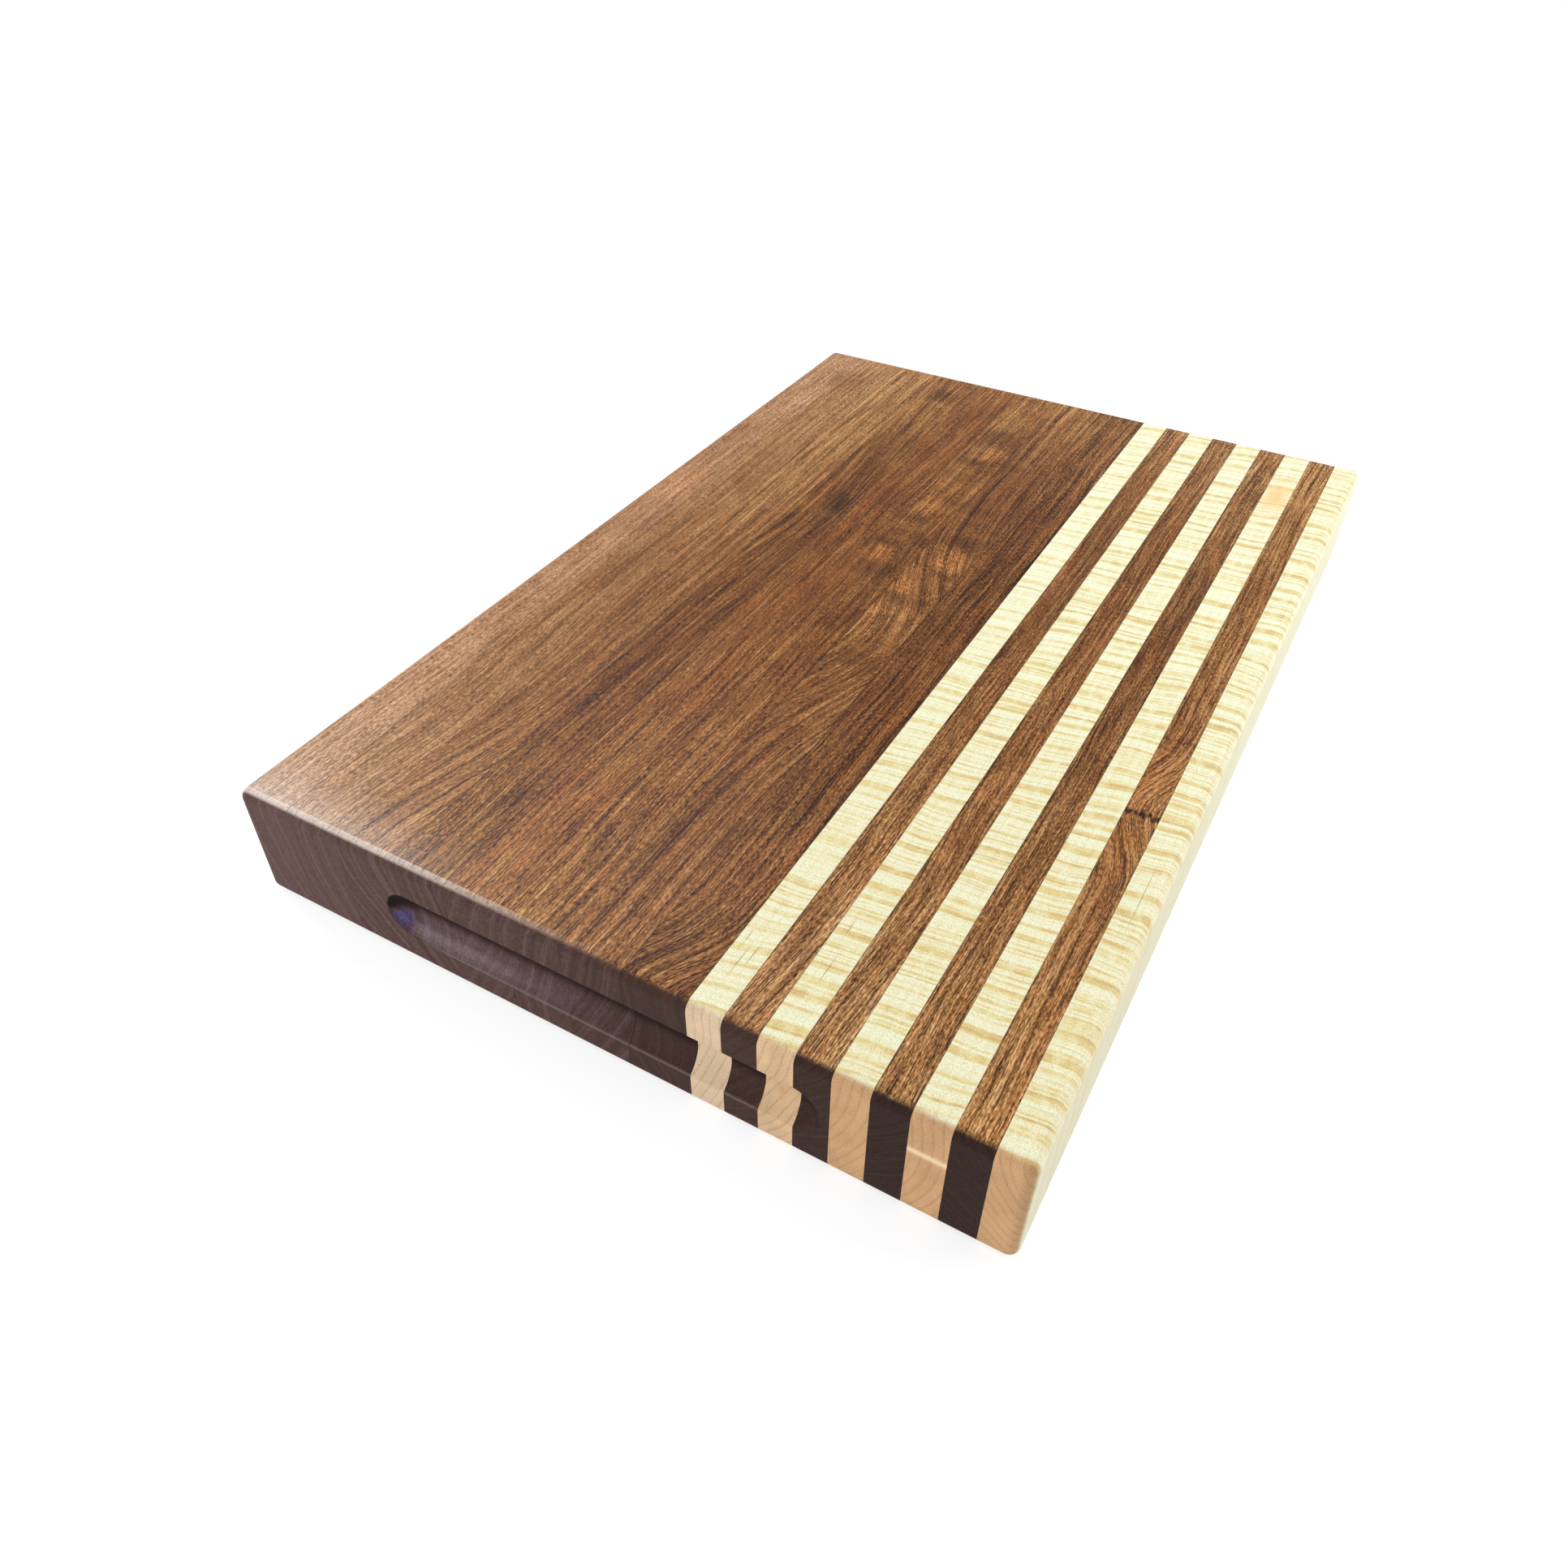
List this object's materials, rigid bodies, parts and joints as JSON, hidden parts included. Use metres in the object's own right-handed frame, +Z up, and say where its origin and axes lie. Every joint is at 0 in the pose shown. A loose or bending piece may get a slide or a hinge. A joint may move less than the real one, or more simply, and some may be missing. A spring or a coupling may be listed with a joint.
{
  "type": "cutting board",
  "caption": "Thick glued-up cutting board: plain walnut panel beside alternating maple and walnut stripes, eased edges, and a shallow round-ended finger groove in each end.",
  "frame": {"origin": "middle of the underside, on the surface the board rests on", "axes": "+Y along the grain, the board's length; +Z up through its thickness; +X across the board towards the striped edge"},
  "size_m": [0.3048, 0.4572, 0.05],
  "materials": {
    "walnut_stave": "oiled satin",
    "walnut_strip": "oiled satin",
    "maple_strip": "oiled satin"
  },
  "bodies": {
    "root": {"walnut_stave_1": "walnut_stave", "walnut_stave_2": "walnut_stave", "walnut_stave_3": "walnut_stave", "walnut_stave_4": "walnut_stave", "walnut_stave_5": "walnut_stave", "walnut_stave_6": "walnut_stave", "walnut_stave_7": "walnut_stave", "walnut_stave_8": "walnut_stave", "maple_strip_1": "maple_strip", "walnut_strip_1": "walnut_strip", "maple_strip_2": "maple_strip", "walnut_strip_2": "walnut_strip", "maple_strip_3": "maple_strip", "walnut_strip_3": "walnut_strip", "maple_strip_4": "maple_strip", "walnut_strip_4": "walnut_strip", "maple_strip_5": "maple_strip"}
  },
  "joints": []
}
